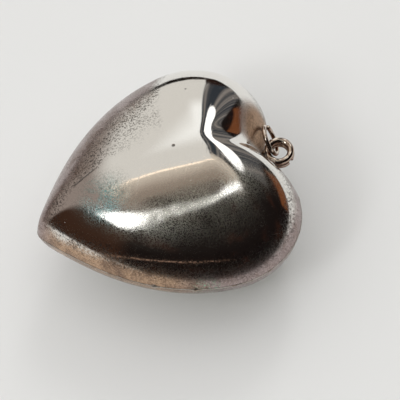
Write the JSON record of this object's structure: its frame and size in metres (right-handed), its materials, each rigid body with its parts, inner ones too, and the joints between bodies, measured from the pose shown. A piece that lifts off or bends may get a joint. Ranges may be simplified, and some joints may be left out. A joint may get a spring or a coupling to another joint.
{
  "type": "puffed heart pendant",
  "caption": "Hollow puffed heart pendant of polished, tarnished silver, with a wound wire eye soldered in its cleft and a jump ring that runs round the eye.",
  "frame": {"origin": "under the middle of the whole outline, level with the lowest point of the back", "axes": "+Z is the front face's normal, +Y points from the tip to the cleft, +X across the lobes"},
  "size_m": [0.031, 0.0312, 0.0165],
  "materials": {
    "shell_silver": "mirror-polished silver with brown and blue-grey tarnish, pits and scratches",
    "wire_silver": "polished silver wire with a warm brown tarnish",
    "hard_solder": "slightly lumpy silver solder"
  },
  "bodies": {
    "heart": {"front_shell": "shell_silver", "back_shell": "shell_silver", "seam_solder": "hard_solder", "fixed_eye": "wire_silver", "eye_solder": "hard_solder"},
    "ring": {"jump_ring": "wire_silver"}
  },
  "joints": [
    {"name": "ring_swing", "type": "hinge", "parent": "heart", "child": "ring", "pos_m": [0, 0.01386, 0.00847], "axis": [0.2079, 0, 0.9781], "range_deg": [-180, 0]}
  ]
}
